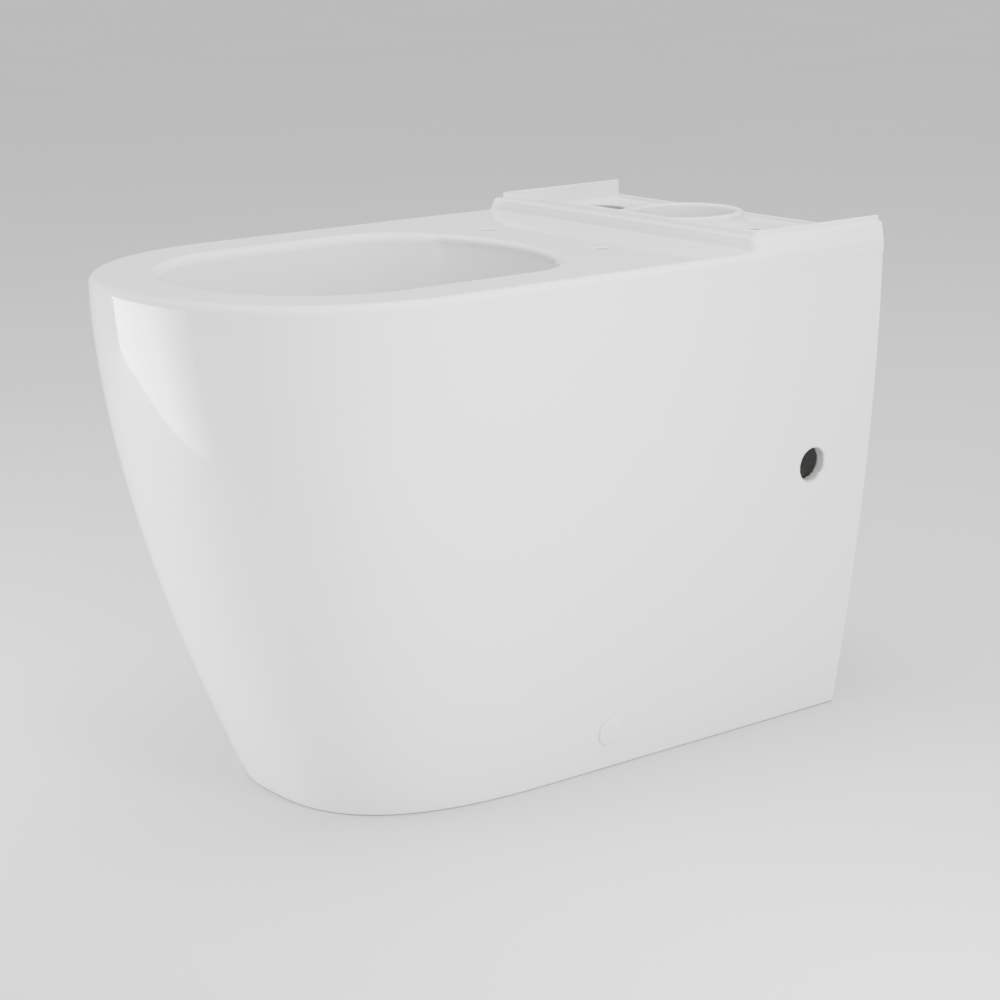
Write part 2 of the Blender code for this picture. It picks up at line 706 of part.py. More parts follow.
def make_cap(name, place):
    """Push-fit cover over the screw's head: a low dome with a short ring stem."""
    rim = CLEARANCE
    dome = [(rim, CAP_RADIUS)]
    for step in range(1, 5):
        turn = math.radians(90 * step / 4)
        radius = CAP_RADIUS * (1 - 0.45 * (1 - math.cos(turn)))
        dome.append((rim + 0.4 + (CAP_RISE - 0.4) * math.sin(turn), radius))
    stem_outer = SLEEVE_POCKET_RADIUS - CLEARANCE
    stem_inner = stem_outer - 1.1
    roof = rim + 0.9
    dome.append((rim + CAP_RISE + 0.2, CAP_RADIUS * 0.25))
    cap = rod(name, dome, place, white_plastic(), steps=32)
    bottom = -CAP_STEM_LENGTH
    ring = ((bottom, stem_inner), (bottom, stem_outer), (roof, stem_outer), (roof, stem_inner))
    combine(cap, [turned("stem", ring, place, steps=32)], "UNION")
    smooth(cap)
    cap.data.transform(place.inverted())
    cap.matrix_world = place


def outlet_place():
    """Frame of the outlet: on its centre line at the wall, +Z running out from the wall."""
    place = Matrix.Translation(to_world(0, 0, OUTLET_HEIGHT))
    return place @ Matrix.Rotation(math.radians(90), 4, "X")


def make_outlet_connector():
    """Plastic pan connector: socket over the spigot, shoulder, and pipe to the wall."""
    shoulder = SOCKET_REAR + 3.5
    profile = (
        (PIPE_END, PIPE_INNER_RADIUS), (PIPE_END, PIPE_OUTER_RADIUS - 1.0),
        (PIPE_END + 3, PIPE_OUTER_RADIUS), (SOCKET_REAR - 6, PIPE_OUTER_RADIUS),
        (SOCKET_REAR, SOCKET_OUTER_RADIUS), (SOCKET_FRONT - 6, SOCKET_OUTER_RADIUS),
        (SOCKET_FRONT - 5, SOCKET_OUTER_RADIUS + 2.5), (SOCKET_FRONT, SOCKET_OUTER_RADIUS + 2.5),
        (SOCKET_FRONT, SOCKET_INNER_RADIUS), (shoulder, SOCKET_INNER_RADIUS),
        (shoulder, PIPE_INNER_RADIUS),
    )
    smooth(turned("outlet_connector", profile, outlet_place(), white_plastic()))


def fin_ring(name, start, end, inner, valley, tip, fins, outward):
    """A rubber ring with pointed fins on one face, in an axial stretch."""
    pitch = (end - start) / fins
    base = inner if outward else valley
    profile = [(end, base), (start, base)]
    face = []
    for fin in range(fins):
        begin = start + fin * pitch
        low = valley if outward else inner
        face.append((begin, low))
        face.append((begin + 0.6 * pitch, tip))
        face.append((begin + 0.75 * pitch, tip))
        face.append((begin + 0.9 * pitch, low))
    face.append((end, valley if outward else inner))
    smooth(turned(name, profile[1:] + face + profile[:1], outlet_place(), black_rubber()))


def make_seals():
    """The finned rubber rings at the pan's spigot and at the wall end of the pipe."""
    spigot = OUTLET_BORE_RADIUS + TRAP_WALL
    fin_ring("spigot_seal", OUTLET_END_DEPTH + 2, OUTLET_END_DEPTH + 20, spigot + 4.4,
             SOCKET_INNER_RADIUS - CLEARANCE, spigot + 3 * CLEARANCE, 3, False)
    fin_ring("wall_seal", 8.0, 32.0, PIPE_OUTER_RADIUS + CLEARANCE, PIPE_OUTER_RADIUS + 1.6,
             WALL_SEAL_RADIUS, 3, True)


def make_side_fixings():
    for side, word in ((-1, "left"), (1, "right")):
        place = fixing_place(side)
        make_sleeve("screw_sleeve_" + word, place)
        make_washer("screw_washer_" + word, place)
        make_screw("fixing_screw_" + word, place)
        make_nut("bracket_nut_" + word, place)
        make_bracket("floor_bracket_" + word, side, place)
        make_cap("fixing_cap_" + word, place)


def main():
    clear_scene()
    make_pan()
    make_side_fixings()
    make_outlet_connector()
    make_seals()


main()
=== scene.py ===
"""Looks of the close coupled toilet pan: smooth glazed china, side fixings and connector.

The pan is described as a field: a function that is negative inside the china, with every edge
rounded as a glaze rounds it. A mesh is drawn round the field's zero surface, thinned, and moved
exactly onto it. Lengths in the field are millimetres; depth runs from the wall to the front.
"""
import json
import math

import bmesh
import bpy
import numpy as np
from mathutils import Matrix, Quaternion, Vector


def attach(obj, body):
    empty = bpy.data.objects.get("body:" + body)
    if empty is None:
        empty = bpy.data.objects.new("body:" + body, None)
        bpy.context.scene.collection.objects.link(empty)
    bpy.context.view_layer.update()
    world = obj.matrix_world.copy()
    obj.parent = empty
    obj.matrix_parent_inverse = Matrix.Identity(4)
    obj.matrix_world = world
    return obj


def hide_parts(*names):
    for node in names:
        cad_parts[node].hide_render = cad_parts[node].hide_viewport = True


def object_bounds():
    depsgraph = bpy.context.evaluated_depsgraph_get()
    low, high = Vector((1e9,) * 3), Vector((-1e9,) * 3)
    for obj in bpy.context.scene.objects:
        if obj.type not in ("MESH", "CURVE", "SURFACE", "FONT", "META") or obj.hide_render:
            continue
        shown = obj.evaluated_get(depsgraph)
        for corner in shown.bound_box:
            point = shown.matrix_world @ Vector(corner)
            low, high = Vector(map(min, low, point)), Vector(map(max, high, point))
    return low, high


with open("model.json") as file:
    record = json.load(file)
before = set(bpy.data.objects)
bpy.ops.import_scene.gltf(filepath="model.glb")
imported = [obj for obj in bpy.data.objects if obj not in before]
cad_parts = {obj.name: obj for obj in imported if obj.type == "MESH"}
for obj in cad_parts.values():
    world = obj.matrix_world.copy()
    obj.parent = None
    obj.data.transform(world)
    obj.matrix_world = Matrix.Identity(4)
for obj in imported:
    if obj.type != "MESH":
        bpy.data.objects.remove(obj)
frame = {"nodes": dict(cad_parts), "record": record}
cad_low, cad_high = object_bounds()

MM = 0.001
WALL_Y = cad_high.y

# Pan body
LENGTH = 659.8
RIM = 446.0
BASE_HALF_WIDTH = 133.0
SIDE_FLARE = 50.0
SIDE_FLARE_EXTRA = 6.4
FLARE_EXTRA_DEPTH = 220.0
SIDE_POWER = 1.74
FRONT_POWER = 1.62
BASE_BEND, RIM_BEND = 334.0, 468.0
BASE_TIP = 536.0
BASE_ROUNDNESS, RIM_ROUNDNESS = 2.7, 2.12
RIM_EDGE = 7.0
FOOT_EDGE, REAR_EDGE = 1.5, 1.2
SHROUD_WALL = 11.0
DECK_UNDERSIDE, DECK_FILLET = 431.0, 14.0
FLANGE_EDGE, FLANGE_DEPTH, FLANGE_ROUNDING = 92.0, 11.0, 3.0
FLANGE_JOIN = 6.0
INNER_FILLET, INNER_JOIN, HOLLOW_EDGE = 10.0, 8.0, 2.0

# Cistern platform: its blocks start PLATFORM_ROOT below the rim, inside the deck
PLATFORM_ROOT = 14.0
STEP_DEPTH, STEP_TOP, STEP_HALF_WIDTH = 154.6, 457.2, 180.4
STEP_CORNER, STEP_EDGE, STEP_FOOT = 8.5, 1.6, 2.5
STEP_SET_IN = 0.2
LEAN_START, LEAN_CURVE = 3.0, 1.4
LIP_DEPTH, LIP_TOP, LIP_HALF_WIDTH = 147.2, 462.1, 176.4
LIP_CORNER, LIP_EDGE, LIP_FOOT = 7.0, 1.0, 1.2
POCKET_FRONT, POCKET_FLOOR, POCKET_HALF_WIDTH = 142.8, 444.0, 173.7
POCKET_CORNER, POCKET_FILLET, POCKET_EDGE = 6.0, 3.5, 0.8
REAR_LIP, REAR_LIP_TOP = 3.0, 447.9
REAR_LIP_CORNER, REAR_LIP_EDGE, REAR_LIP_FOOT = 0.8, 0.9, 1.5

# Inlet ring: radius, top, edge and foot fillet
INLET_RING = (54.0, 455.7, 3.0, 9.0)

# Upright holes: across, depth, radius and rounding of the edge
INLET = (0.0, 70.0, 46.0, 3.0)
VALVE_HOLE = (-136.0, 57.0, 25.0, 2.5)
BOLT_HOLES = ((-70.0, 52.0, 9.0, 1.8), (70.0, 52.0, 9.0, 1.8))
SEAT_HOLES = ((-77.5, 237.5, 7.0, 1.3), (77.5, 237.5, 7.0, 1.3))
HOLES_END = 400.0

# Service hole in the +X side: depth, height, radius and rounding of the edge
ACCESS_HOLE = (72.0, 247.0, 15.0, 1.6)
ACCESS_INNER = 120.0

# Bowl: height, half width, front bend, front tip, rear bend, rear end
BOWL = np.array((
    (95, 46, 322, 366, 290, 247),
    (130, 52, 328, 378, 292, 245),
    (170, 63, 342, 414, 300, 244),
    (220, 83, 380, 480, 322, 247),
    (280, 110, 428, 550, 342, 254),
    (340, 126, 464, 589, 352, 264),
    (400, 131, 480, 601, 356, 272),
    (446, 132, 484, 604.5, 357, 276),
), dtype=float)
BOWL_WALL = 10.0
BOWL_EDGE = 8.0
BOWL_FLOOR_FILLET = 30.0

# Trapway
SUMP = (300.0, 126.0, 29.0)
RISER_DEPTH, RISER_BEND = 207.0, 45.0
WEIR_HEIGHT, WEIR_BEND = 190.0, 43.0
FALL_ANGLE = 36.0
OUTLET_BEND = 70.0
OUTLET_HEIGHT, OUTLET_END = 185.0, 57.0
TRAP_BORE, OUTLET_BORE = 27.0, 40.0
TRAP_WALL, SPIGOT_EDGE = 9.0, 2.0
TRAP_JOIN = 9.0
TRAP_REACH = 80.0
TRAP_BOUNDS = ((-75.0, 75.0), (-1000.0, 380.0), (40.0, 330.0))

# Flush chamber under the platform, its drop behind the bowl, and its mouth in the bowl's wall
CHAMBER_HALF_WIDTH = 48.0
CHAMBER_REAR, CHAMBER_FRONT = 22.0, 248.0
CHAMBER_FLOOR, CHAMBER_TOP = 392.0, 432.0
DROP_REAR, DROP_FRONT = 212.0, 250.0
MOUTH_FRONT = 296.0
MOUTH_FLOOR, MOUTH_TOP = 345.0, 386.0
CHAMBER_WALL = 9.0
FLUSH_EDGE, FLUSH_JOIN, MOUTH_JOIN = 8.0, 6.0, 5.0

# Shallow recess across the back of the bowl, under the rim
RECESS_HALF_WIDTH, RECESS_DEPTH = 84.0, 5.5
RECESS_FLOOR, RECESS_TOP, RECESS_FRONT = 340.0, 438.5, 330.0
RECESS_CORNER, RECESS_END, RECESS_FILLET, RECESS_JOIN = 4.0, 3.0, 5.0, 6.0

# Side fixings
FIXING_DEPTH, FIXING_HEIGHT, FIXING_RADIUS = 281.0, 36.5, 10.0
FIXING_INNER, FIXING_EDGE = 100.0, 1.0
CLEARANCE = 0.3
CAP_RADIUS, CAP_RISE, CAP_EDGE = 13.5, 2.4, 2.0
CAP_STEM_LENGTH, CAP_STEM_RADIUS, CAP_STEM_WALL = 3.4, 6.7, 1.1
CAP_ROOF, CAP_CROWN_RISE = 0.9, 0.18
AXIS_GAP = 0.02
EDGE_STEPS, CROWN_STEPS = 12, 8
SHARP_ANGLE = 40.0

# Faces wider than this take their normals from a little way inside
WIDE_FACE, INSET = 2.5, 0.25

# Where the glaze stops and dark clay paints shade into the holes and the hollow: below this
# height, and this far out from a hole's wall
BARE_FOOT, BARE_SHADED_BORE, BARE_SHADED_ACCESS = 0.2, 0.6, 0.5
GLAZED_EDGE = 2.5
GLAZE_FADE_START, GLAZE_FADE = 0.2, 1.2

GRID_STEP = 3.0
FINE_STEP = 0.7
MOST_TRIANGLES = 196_000


# ---------------------------------------------------------------- the pan as a field

def ease(t):
    t = np.clip(t, 0.0, 1.0)
    return t * t * (3 - 2 * t)


def cut(a, b, radius):
    """Where both a and b are solid, with the edge between them rounded."""
    return np.minimum(np.maximum(a, b), -radius) + np.hypot(
        np.maximum(a + radius, 0), np.maximum(b + radius, 0))


def join(a, b, radius):
    """Where a or b is solid, with the inner corner between them filled round."""
    return np.maximum(np.minimum(a, b), radius) - np.hypot(
        np.maximum(radius - a, 0), np.maximum(radius - b, 0))


def monotone(heights, keys, values):
    """A smooth curve through the keys that never overshoots them."""
    gaps = np.diff(keys)
    slopes = np.diff(values) / gaps
    inner = np.where(slopes[1:] * slopes[:-1] > 0,
                     2 * slopes[1:] * slopes[:-1] / (slopes[1:] + slopes[:-1] + 1e-12), 0.0)
    tangents = np.concatenate(([slopes[0]], inner, [slopes[-1]]))
    at = np.clip(heights, keys[0], keys[-1])
    low = np.clip(np.searchsorted(keys, at) - 1, 0, len(gaps) - 1)
    h, t = gaps[low], (at - keys[low]) / gaps[low]
    return ((1 + 2 * t) * (1 - t) ** 2 * values[low] + t * (1 - t) ** 2 * h * tangents[low]
            + t * t * (3 - 2 * t) * values[low + 1] + t * t * (t - 1) * h * tangents[low + 1])


def oval(across, forward, half_width, reach, power):
    """Signed distance, near its edge, to a superellipse of these half sizes."""
    u = np.maximum(np.abs(across) / half_width, 1e-4)
    v = np.maximum(forward / reach, 0.0)
    r = (u ** power + v ** power) ** (1 / power)
    slope = np.hypot((u / r) ** (power - 1) / half_width, (v / r) ** (power - 1) / reach)
    return (r - 1) / slope


def side_half_width(d, z):
    """Half width of the shroud's straight side."""
    opened = 1 - (1 - np.clip(z / RIM, 0, 1)) ** SIDE_POWER
    extra = SIDE_FLARE_EXTRA * ease(d / FLARE_EXTRA_DEPTH)
    return BASE_HALF_WIDTH + (SIDE_FLARE + extra) * opened


def shroud(x, d, z):
    opened = 1 - (1 - np.clip(z / RIM, 0, 1)) ** FRONT_POWER
    start = BASE_BEND + (RIM_BEND - BASE_BEND) * opened
    reach = BASE_TIP + (LENGTH - BASE_TIP) * opened - start
    power = BASE_ROUNDNESS + (RIM_ROUNDNESS - BASE_ROUNDNESS) * np.clip(z / RIM, 0, 1)
    return oval(x, d - start, side_half_width(d, z), reach, power)


def bowl(x, d, z):
    half_width, front, tip, back, rear = (
        monotone(z, BOWL[:, 0], BOWL[:, column]) for column in range(1, 6))
    ahead = oval(x, d - front, half_width, tip - front, 2.0)
    behind = oval(x, back - d, half_width, back - rear, 2.0)
    walls = np.where(d > (front + back) / 2, ahead, behind)
    return cut(walls, BOWL[0, 0] - z, BOWL_FLOOR_FILLET)


def arc(centre, radius, start, end, steps=10):
    turn = np.radians(np.linspace(start, end, steps))
    return np.stack((centre[0] + radius * np.cos(turn), centre[1] + radius * np.sin(turn)), 1)


def trap_line():
    """Centre line of the trapway: rows of depth, height and bore radius."""
    rise = arc((RISER_DEPTH + RISER_BEND, SUMP[1] + RISER_BEND), RISER_BEND, -90, -180)
    weir = arc((RISER_DEPTH - WEIR_BEND, WEIR_HEIGHT), WEIR_BEND, 0, 90 + FALL_ANGLE, 14)
    slope = math.radians(FALL_ANGLE)
    fall = weir[-1, 1] - OUTLET_HEIGHT - OUTLET_BEND * (1 - math.cos(slope))
    centre = weir[-1, 0] - fall / math.tan(slope) - OUTLET_BEND * math.sin(slope)
    level = arc((centre, OUTLET_HEIGHT + OUTLET_BEND), OUTLET_BEND, FALL_ANGLE - 90, -90)
    grown = TRAP_BORE + (OUTLET_BORE - TRAP_BORE) * ease(np.linspace(0.1, 1, len(level)))
    narrow = np.vstack((rise, weir))
    return np.vstack((
        [SUMP],
        np.column_stack((narrow, np.full(len(narrow), TRAP_BORE))),
        np.column_stack((level, grown)),
        [(OUTLET_END - 25, OUTLET_HEIGHT, OUTLET_BORE)],
    ))


TRAP = trap_line()


def trap(x, d, z):
    """Signed distance to the trapway's bore."""
    far = np.full(np.shape(x), TRAP_REACH)
    near = np.logical_and.reduce(
        [(value > low) & (value < high) for value, (low, high) in zip((x, d, z), TRAP_BOUNDS)])
    px, pd, pz = x[near], d[near], z[near]
    best = np.full(px.shape, TRAP_REACH)
    for start, end in zip(TRAP[:-1], TRAP[1:]):
        run = end[:2] - start[:2]
        t = np.clip(((pd - start[0]) * run[0] + (pz - start[1]) * run[1]) / (run @ run), 0, 1)
        away = np.sqrt(px ** 2 + (pd - start[0] - t * run[0]) ** 2
                       + (pz - start[1] - t * run[1]) ** 2)
        best = np.minimum(best, away - start[2] - t * (end[2] - start[2]))
    far[near] = best
    return far


def block(x, d, z, half_width, depths, heights, radius):
    """A box between two depths and two heights, its edges rounded."""
    along = cut(depths[0] - d, d - depths[1], radius)
    upright = cut(heights[0] - z, z - heights[1], radius)
    return cut(cut(np.abs(x) - half_width, along, radius), upright, radius)


def flush_way(x, d, z):
    """Flush chamber under the platform, its drop behind the bowl, and its mouth."""
    chamber = block(x, d, z, CHAMBER_HALF_WIDTH, (CHAMBER_REAR, CHAMBER_FRONT),
                    (CHAMBER_FLOOR, CHAMBER_TOP), FLUSH_EDGE)
    drop = block(x, d, z, CHAMBER_HALF_WIDTH, (DROP_REAR, DROP_FRONT),
                 (MOUTH_FLOOR, CHAMBER_TOP), FLUSH_EDGE)
    mouth = block(x, d, z, CHAMBER_HALF_WIDTH, (DROP_REAR, MOUTH_FRONT),
                  (MOUTH_FLOOR, MOUTH_TOP), FLUSH_EDGE)
    return join(join(chamber, drop, FLUSH_JOIN), mouth, FLUSH_JOIN)


def recess(x, d, z, hole):
    """The shallow recess, which follows the back of the bowl's field, hole."""
    sides = cut(hole - RECESS_DEPTH, np.abs(x) - RECESS_HALF_WIDTH, RECESS_CORNER)
    ends = cut(z - RECESS_TOP, RECESS_FLOOR - z, RECESS_END)
    ends = cut(ends, d - RECESS_FRONT, RECESS_END)
    return cut(sides, ends, RECESS_FILLET)


def ridge(x, d, z, half_width, depth, top, corner, edge):
    """A raised block against the wall with rounded front corners."""
    plan = cut(np.abs(x) - half_width, d - depth, corner)
    return cut(plan, z - top, edge)


def platform(x, d, z, solid):
    """The deck with the cistern platform's two steps, lips, sunken floor and inlet ring."""
    buried = RIM - PLATFORM_ROOT - z
    lean_from = RIM - LEAN_START
    leaned = np.clip((z - lean_from) / (STEP_TOP - lean_from), 0, 1) ** LEAN_CURVE
    flush = side_half_width(d, z) - STEP_SET_IN
    side = flush + (STEP_HALF_WIDTH - flush) * leaned
    lower = ridge(x, d, z, side, STEP_DEPTH, STEP_TOP, STEP_CORNER, STEP_EDGE)
    solid = join(solid, np.maximum(lower, buried), STEP_FOOT)
    upper = ridge(x, d, z, LIP_HALF_WIDTH, LIP_DEPTH, LIP_TOP, LIP_CORNER, LIP_EDGE)
    solid = join(solid, np.maximum(upper, buried), LIP_FOOT)
    walls = cut(np.abs(x) - POCKET_HALF_WIDTH, d - POCKET_FRONT, POCKET_CORNER)
    solid = cut(solid, -cut(walls, POCKET_FLOOR - z, POCKET_FILLET), POCKET_EDGE)
    lip = ridge(x, d, z, LIP_HALF_WIDTH, REAR_LIP, REAR_LIP_TOP, REAR_LIP_CORNER, REAR_LIP_EDGE)
    solid = join(solid, np.maximum(lip, buried), REAR_LIP_FOOT)
    away = np.hypot(x - INLET[0], d - INLET[1])
    radius, top, edge, foot = INLET_RING
    ring = cut(away - radius, z - top, edge)
    return join(solid, np.maximum(ring, buried), foot)


def drill(solid, x, d, z, hole, bottom):
    across, depth, radius, edge = hole
    away = np.hypot(x - across, d - depth) - radius
    return cut(solid, -np.maximum(away, bottom - z), edge)


def fixing_frame(side):
    """Frame of a side fixing: origin on the shroud, +Z straight out of it (metres)."""
    x = side_half_width(FIXING_DEPTH, FIXING_HEIGHT)
    slope = math.atan(side_half_width(FIXING_DEPTH, FIXING_HEIGHT + 1) - x)
    out = Vector((side * math.cos(slope), 0.0, -math.sin(slope)))
    turn = Matrix((Vector((0, 1, 0)), out.cross(Vector((0, 1, 0))), out)).transposed()
    place = Vector((side * x * MM, WALL_Y - FIXING_DEPTH * MM, FIXING_HEIGHT * MM))
    return Matrix.Translation(place) @ turn.to_4x4()


def access(x, d, z, out):
    """Signed distance to the service hole, made larger all round by out."""
    depth, height, radius, _ = ACCESS_HOLE
    return np.maximum(np.hypot(d - depth, z - height) - radius - out, ACCESS_INNER - x)


def hole_bores(x, d, z):
    """Negative on the bores of the round holes, where the clay is bare and painted dark as
    their shade.
    """
    bores = access(x, d, z, BARE_SHADED_ACCESS)
    for across, depth, radius, _ in (VALVE_HOLE, *BOLT_HOLES, *SEAT_HOLES):
        away = np.hypot(x - across, d - depth) - radius - BARE_SHADED_BORE
        bores = np.minimum(bores, np.maximum(away, z - (POCKET_FLOOR - GLAZED_EDGE)))
    return bores


def side_holes(solid, x, d, z):
    """The two fixing holes and the service hole near the wall."""
    width = side_half_width(FIXING_DEPTH, FIXING_HEIGHT)
    slope = math.atan(side_half_width(FIXING_DEPTH, FIXING_HEIGHT + 1) - width)
    rise = (z - FIXING_HEIGHT) * math.cos(slope) + (np.abs(x) - width) * math.sin(slope)
    fixing = np.hypot(d - FIXING_DEPTH, rise) - FIXING_RADIUS
    fixing = np.maximum(fixing, FIXING_INNER - np.abs(x))
    solid = cut(solid, -fixing, FIXING_EDGE)
    return cut(solid, -access(x, d, z, 0.0), ACCESS_HOLE[3])


def hollow(x, d, z):
    """Space inside the shroud, round the bowl, the trapway and the flush chamber."""
    inside = cut(shroud(x, d, z) + SHROUD_WALL, z - DECK_UNDERSIDE, DECK_FILLET)
    spigot = cut(trap(x, d, z) - TRAP_WALL, OUTLET_END - d, SPIGOT_EDGE)
    hole = bowl(x, d, z)
    backed = np.minimum(hole, recess(x, d, z, hole))
    works = join(backed - BOWL_WALL, spigot, INNER_JOIN)
    works = join(works, flush_way(x, d, z) - CHAMBER_WALL, INNER_JOIN)
    flange = cut(FLANGE_EDGE - np.abs(x), d - FLANGE_DEPTH, FLANGE_ROUNDING)
    works = join(works, flange, FLANGE_JOIN)
    return cut(inside, -works, INNER_FILLET)


def china(x, d, z):
    """Negative inside the pan's china."""
    solid = cut(shroud(x, d, z), z - RIM, RIM_EDGE)
    solid = platform(x, d, z, solid)
    solid = cut(cut(solid, -z, FOOT_EDGE), -d, REAR_EDGE)
    hole = bowl(x, d, z)
    waterway = join(hole, trap(x, d, z), TRAP_JOIN)
    waterway = join(waterway, flush_way(x, d, z), MOUTH_JOIN)
    waterway = join(waterway, recess(x, d, z, hole), RECESS_JOIN)
    solid = cut(solid, -waterway, BOWL_EDGE)
    solid = drill(solid, x, d, z, INLET, CHAMBER_TOP - PLATFORM_ROOT)
    for upright in (VALVE_HOLE, *BOLT_HOLES, *SEAT_HOLES):
        solid = drill(solid, x, d, z, upright, HOLES_END)
    solid = cut(solid, -hollow(x, d, z), HOLLOW_EDGE)
    return side_holes(solid, x, d, z)


# ---------------------------------------------------------------- from field to mesh

def spaced(stops, steps):
    """Grid lines between stops, each stretch with its own step."""
    lines = [stops[0]]
    for start, end, step in zip(stops, stops[1:], steps):
        count = max(1, round((end - start) / step))
        lines += list(np.linspace(start, end, count + 1)[1:])
    return np.array(lines)


def grid_lines():
    wide, fine = GRID_STEP, FINE_STEP
    half = spaced((0.0, 60.0, 171.0, 190.0, 196.0), (wide, wide, fine * 1.3, wide))
    across = np.concatenate((-half[:0:-1], half))
    depths = spaced((-6.0, -1.5, 5.0, 139.0, 159.5, 580.0, 668.0),
                    (wide, fine, wide, fine, wide, wide * 0.8))
    heights = spaced((-6.0, -1.5, 3.0, 425.0, 438.0, 464.0, 468.0),
                     (wide, fine * 1.3, wide, wide * 0.6, fine, wide))
    return across, depths, heights


def sample(lines):
    """The field at every grid point, worked out a few layers at a time."""
    across, depths, heights = lines
    values = np.empty((len(across), len(depths), len(heights)), np.float32)
    layers = 12
    for start in range(0, len(heights), layers):
        x, d, z = np.meshgrid(across, depths, heights[start:start + layers], indexing="ij")
        values[:, :, start:start + layers] = china(x, d, z)
    return values


def draw_surface(lines, values):
    """One point in each cell that the surface crosses, and a face round each crossed edge."""
    solid = values < 0
    cells = tuple(size - 1 for size in values.shape)
    total = np.zeros((3, *cells), np.float32)
    count = np.zeros(cells, np.int8)
    crossed = []
    for axis in range(3):
        low = [slice(None)] * 3
        high = [slice(None)] * 3
        low[axis], high[axis] = slice(0, -1), slice(1, None)
        a, b = values[tuple(low)], values[tuple(high)]
        change = solid[tuple(low)] != solid[tuple(high)]
        crossed.append(change)
        spots = np.nonzero(change)
        part = a[spots] / (a[spots] - b[spots])
        point = [lines[k][spots[k]] for k in range(3)]
        step = np.diff(lines[axis])[spots[axis]]
        point[axis] = point[axis] + part * step
        others = [k for k in range(3) if k != axis]
        for first in (0, 1):
            for second in (0, 1):
                cell = list(spots)
                cell[others[0]] = spots[others[0]] - first
                cell[others[1]] = spots[others[1]] - second
                held = np.logical_and.reduce(
                    [(cell[k] >= 0) & (cell[k] < cells[k]) for k in range(3)])
                index = tuple(part[held] for part in cell)
                for k in range(3):
                    np.add.at(total[k], index, point[k][held])
                np.add.at(count, index, 1)
    used = count > 0
    number = np.full(cells, -1, np.int64)
    number[used] = np.arange(used.sum())
    points = np.stack([total[k][used] / count[used] for k in range(3)], 1).astype(float)
    faces = []
    for axis in range(3):
        i = np.array(np.nonzero(crossed[axis]))
        others = [k for k in range(3) if k != axis]
        corner = []
        for first, second in ((1, 1), (0, 1), (0, 0), (1, 0)):
            cell = i.copy()
            cell[others[0]] -= first
            cell[others[1]] -= second
            corner.append(number[tuple(cell)])
        quad = np.stack(corner, 1)
        inside_low = solid[tuple(i)]
        flip = ~inside_low if axis == 1 else inside_low
        quad[flip] = quad[flip][:, ::-1]
        faces.append(quad)
    return points, np.concatenate(faces)


def slope_of(points):
    """Value and gradient of the field at each point."""
    step = 0.02
    value = china(*points.T)
    gradient = np.empty_like(points)
    for axis in range(3):
        ahead, behind = points.copy(), points.copy()
        ahead[:, axis] += step
        behind[:, axis] -= step
        gradient[:, axis] = (china(*ahead.T) - china(*behind.T)) / (2 * step)
    return value, gradient


def settle(points, rounds, most):
    """Move points onto the zero surface, along the field's slope."""
    for _ in range(rounds):
        value, gradient = slope_of(points)
        size = np.maximum((gradient ** 2).sum(1), 0.05)
        move = -(value / size)[:, None] * gradient
        length = np.maximum(np.linalg.norm(move, axis=1), 1e-9)
        points = points + move * np.minimum(1.0, most / length)[:, None]
    return points


def to_metres(points):
    """From (across, depth, height) in millimetres to the frame's coordinates."""
    return np.stack((points[:, 0] * MM, WALL_Y - points[:, 1] * MM, points[:, 2] * MM), 1)


def to_field(places):
    return np.stack((places[:, 0] / MM, (WALL_Y - places[:, 1]) / MM, places[:, 2] / MM), 1)


def mesh_points(mesh):
    places = np.empty(len(mesh.vertices) * 3)
    mesh.vertices.foreach_get("co", places)
    return to_field(places.reshape(-1, 3))


def thin(piece, most):
    """Collapse the flattest faces until at most this many triangles are left."""
    triangles = sum(len(face.vertices) - 2 for face in piece.data.polygons)
    if triangles > most:
        change = piece.modifiers.new("thin", "DECIMATE")
        change.ratio = most / triangles
        graph = bpy.context.evaluated_depsgraph_get()
        thinned = bpy.data.meshes.new_from_object(piece.evaluated_get(graph))
        piece.modifiers.clear()
        piece.data = thinned


def unit(vectors):
    return vectors / np.maximum(np.linalg.norm(vectors, axis=1), 1e-9)[:, None]


def field_normals(points):
    """The china's outward normals, in the frame's axes."""
    gradient = slope_of(points)[1]
    gradient[:, 1] *= -1
    return unit(gradient)


def read_all(items, name, kind):
    """One value from each item of a mesh."""
    values = np.empty(len(items), kind)
    items.foreach_get(name, values)
    return values


def corner_normals(mesh, settled):
    """A normal for each face corner; on a wide face it is taken a little inside the face."""
    corner = read_all(mesh.loops, "vertex_index", np.int64)
    start = read_all(mesh.polygons, "loop_start", np.int64)
    total = read_all(mesh.polygons, "loop_total", np.int64)
    area = read_all(mesh.polygons, "area", float)
    spots = settled[corner]
    centres = np.add.reduceat(spots, start) / total[:, None]
    width = np.sqrt(area) / MM
    wide = np.repeat(ease((width - WIDE_FACE) / WIDE_FACE), total)
    normals = field_normals(settled)[corner]
    chosen = wide > 0
    inset = spots + INSET * (np.repeat(centres, total, axis=0) - spots)
    part = wide[chosen][:, None]
    normals[chosen] = unit((1 - part) * normals[chosen] + part * field_normals(inset[chosen]))
    return normals


def unglazed_and_shaded(points):
    """1 where the clay is bare and painted dark as shade in the holes and the hollow, and 0
    under the glaze.
    """
    inside = hollow(*points.T)
    under = points[:, 2] - BARE_FOOT
    glazed = np.minimum(np.minimum(inside, under), hole_bores(*points.T))
    return 1 - ease((glazed + GLAZE_FADE_START) / GLAZE_FADE)


